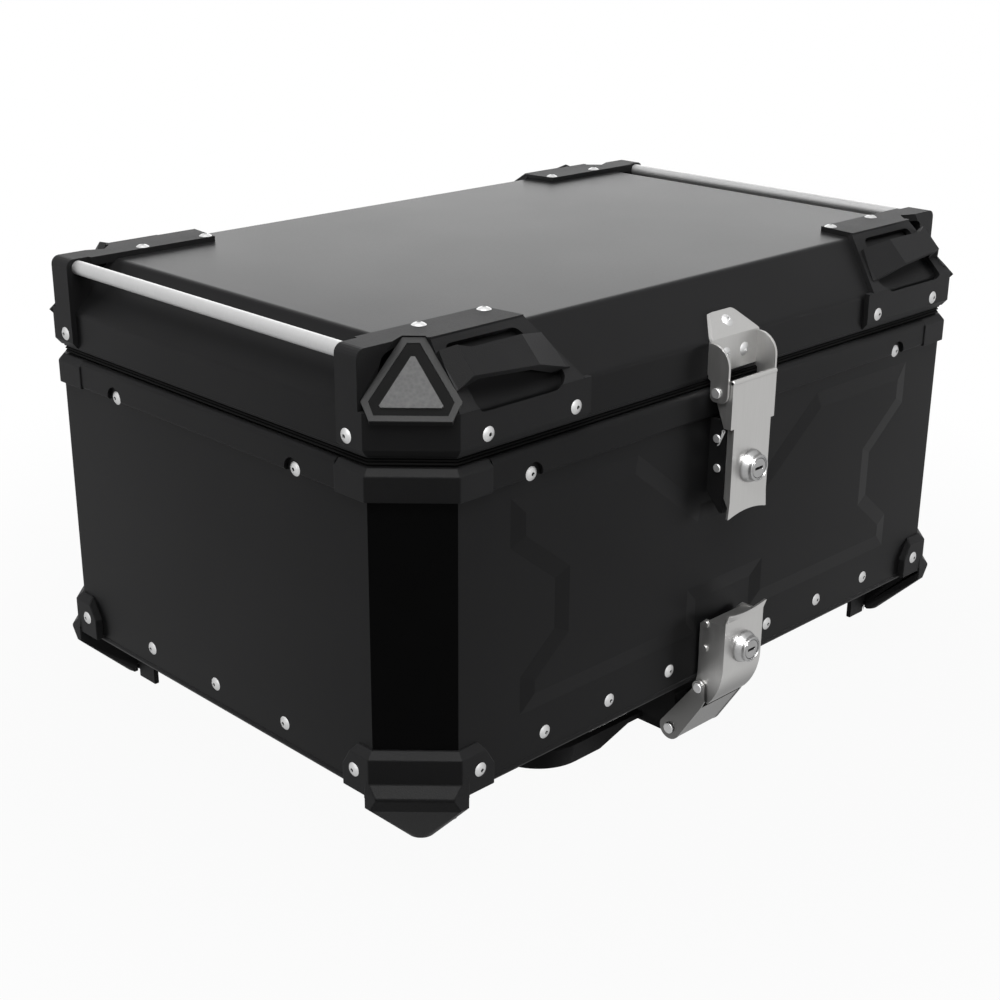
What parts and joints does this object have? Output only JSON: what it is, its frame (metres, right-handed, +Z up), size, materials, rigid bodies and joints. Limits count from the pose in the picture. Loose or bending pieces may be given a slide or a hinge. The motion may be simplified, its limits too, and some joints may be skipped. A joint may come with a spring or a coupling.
{
  "type": "top case",
  "caption": "Black aluminium motorcycle top case with a hinged lid, corner guards with tie-down bars, side rods, key-locked hasp latches and a rack carrier plate.",
  "frame": {"origin": "middle of the rack bolt pattern, on the flat underside of the carrier plate", "axes": "+X along the long side to the right seen from the latches, the latches face -Y, +Z up"},
  "size_m": [0.6154, 0.4547, 0.3527],
  "materials": {
    "black_coat": "matte black powder coat on aluminium sheet",
    "pan_aluminium": "bare aluminium sheet",
    "black_plastic": "moulded black, fine grain",
    "stainless": "brushed stainless sheet",
    "pin_steel": "turned steel",
    "rivet_steel": "bright button heads",
    "lock_chrome": "polished lock",
    "rod_aluminium": "satin anodised rod",
    "rubber": "soft black rubber",
    "reflector_frame": "grey reflector frame",
    "reflector_lens": "grey prism reflector"
  },
  "bodies": {
    "case": {"front_panel": "black_coat", "rear_panel": "black_coat", "left_panel": "black_coat", "right_panel": "black_coat", "corner_panels": "black_coat", "bottom_pan": "pan_aluminium", "front_rail": "black_coat", "rear_rail": "black_coat", "left_rail": "black_coat", "right_rail": "black_coat", "rim_corners": "black_plastic", "foot_front_left": "black_plastic", "foot_front_right": "black_plastic", "foot_rear_left": "black_plastic", "foot_rear_right": "black_plastic", "panel_rivets": "rivet_steel", "foot_rivets": "rivet_steel", "rim_screws": "rivet_steel", "upper_keeper": "black_plastic", "lower_keeper": "black_plastic", "keeper_pins": "pin_steel", "hinge_body_leaves": "stainless", "hinge_pins": "pin_steel", "carrier_plate": "black_plastic", "carrier_posts": "black_plastic", "carrier_hook": "black_plastic", "support_pads": "rubber", "rear_socket": "black_coat", "link_pin": "pin_steel"},
    "lid": {"lid_shell": "black_coat", "lid_rim": "black_plastic", "lid_seal": "rubber", "guard_front_left": "black_plastic", "guard_front_right": "black_plastic", "guard_rear_left": "black_plastic", "guard_rear_right": "black_plastic", "reflector_frames": "reflector_frame", "reflector_lenses": "reflector_lens", "guard_screws": "rivet_steel", "left_rod": "rod_aluminium", "right_rod": "rod_aluminium", "lid_bracket": "stainless", "bracket_screws": "rivet_steel", "hinge_lid_leaves": "stainless", "upper_hasp_pin": "pin_steel"},
    "upper_hasp": {"upper_hasp": "stainless", "upper_lock_barrel": "lock_chrome"},
    "upper_lock": {"upper_lock_plug": "lock_chrome"},
    "lower_link": {"lower_link": "stainless", "lower_hasp_pin": "pin_steel"},
    "lower_hasp": {"lower_hasp": "stainless", "lower_lock_barrel": "lock_chrome"},
    "lower_lock": {"lower_lock_plug": "lock_chrome"}
  },
  "joints": [
    {"name": "lid_hinge", "type": "hinge", "parent": "case", "child": "lid", "pos_m": [0, 0.2122, 0.2833], "axis": [-1, 0, 0], "range_deg": [0, 100]},
    {"name": "upper_hasp_swing", "type": "hinge", "parent": "lid", "child": "upper_hasp", "pos_m": [-0.005, -0.2142, 0.2783], "axis": [-1, 0, 0], "range_deg": [0, 70]},
    {"name": "upper_lock_turn", "type": "hinge", "parent": "upper_hasp", "child": "upper_lock", "pos_m": [-0.005, -0.226, 0.2235], "axis": [0, -1, 0], "range_deg": [0, 90]},
    {"name": "lower_link_swing", "type": "hinge", "parent": "case", "child": "lower_link", "pos_m": [-0.005, -0.186, 0.0126], "axis": [1, 0, 0], "range_deg": [0, 45]},
    {"name": "lower_hasp_swing", "type": "hinge", "parent": "lower_link", "child": "lower_hasp", "pos_m": [-0.005, -0.2105, 0.0545], "axis": [1, 0, 0], "range_deg": [0, 75]},
    {"name": "lower_lock_turn", "type": "hinge", "parent": "lower_hasp", "child": "lower_lock", "pos_m": [-0.005, -0.23, 0.087], "axis": [0, -1, 0], "range_deg": [0, 90]}
  ]
}
